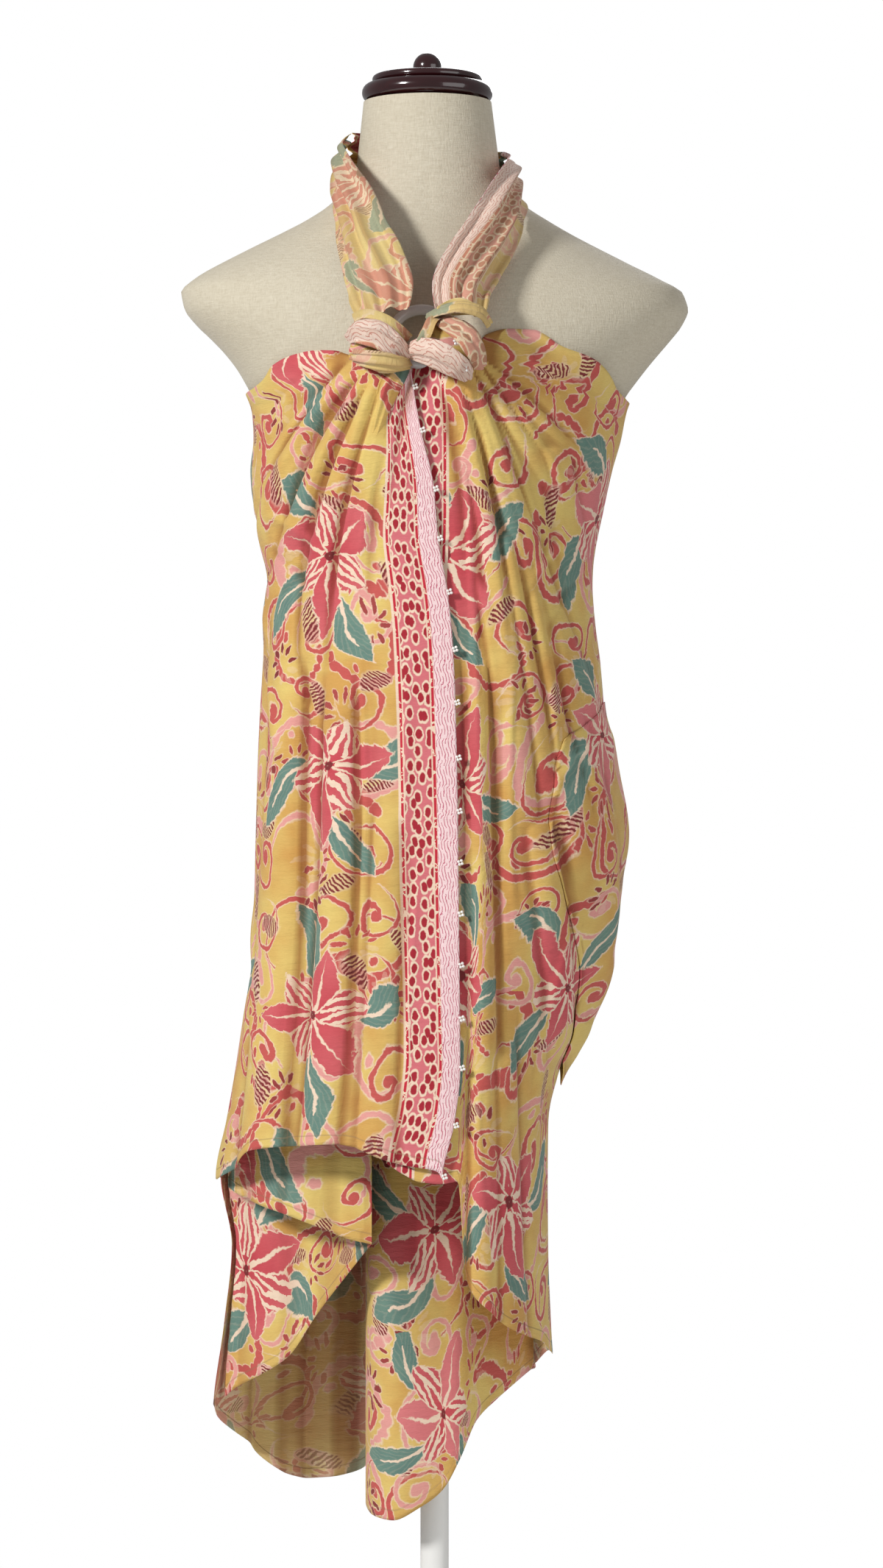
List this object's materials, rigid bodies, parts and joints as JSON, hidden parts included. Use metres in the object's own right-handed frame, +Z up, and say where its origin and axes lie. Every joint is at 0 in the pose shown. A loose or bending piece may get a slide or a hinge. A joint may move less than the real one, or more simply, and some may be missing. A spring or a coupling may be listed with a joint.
{
  "type": "sarong tied halter-style on a limbless dress form",
  "caption": "Yellow floral cotton sarong with a pink bordered, beaded edge, its corners drawn through a clear ring and tied behind the neck of a linen-covered dress form.",
  "frame": {"origin": "centre of the stand's round base, on the floor", "axes": "+Z up, -Y the front, where the two ends of the cloth meet; +X to the viewer's right"},
  "size_m": [0.3948, 0.33, 1.5603],
  "materials": {
    "sarong_cloth": "matte thin cotton voile, block printed",
    "form_cover": "matte plain-woven linen",
    "cap_wood": "glossy dark lacquer",
    "stand_paint": "satin",
    "ring_resin": "clear gloss"
  },
  "bodies": {
    "root": {"form_body": "form_cover", "cap_lower": "cap_wood", "cap_upper": "cap_wood", "cap_knob": "cap_wood", "form_pole": "stand_paint", "form_base": "stand_paint", "over_front": "sarong_cloth", "under_front": "sarong_cloth", "back_wrap": "sarong_cloth", "turned_corner": "sarong_cloth", "side_fall": "sarong_cloth", "back_lobe": "sarong_cloth", "hip_drape": "sarong_cloth", "strap_over": "sarong_cloth", "strap_under": "sarong_cloth", "strap_nape": "sarong_cloth", "over_flap": "sarong_cloth", "under_tail": "sarong_cloth", "knot_over": "sarong_cloth", "knot_under": "sarong_cloth", "sarong_ring": "ring_resin"}
  },
  "joints": []
}
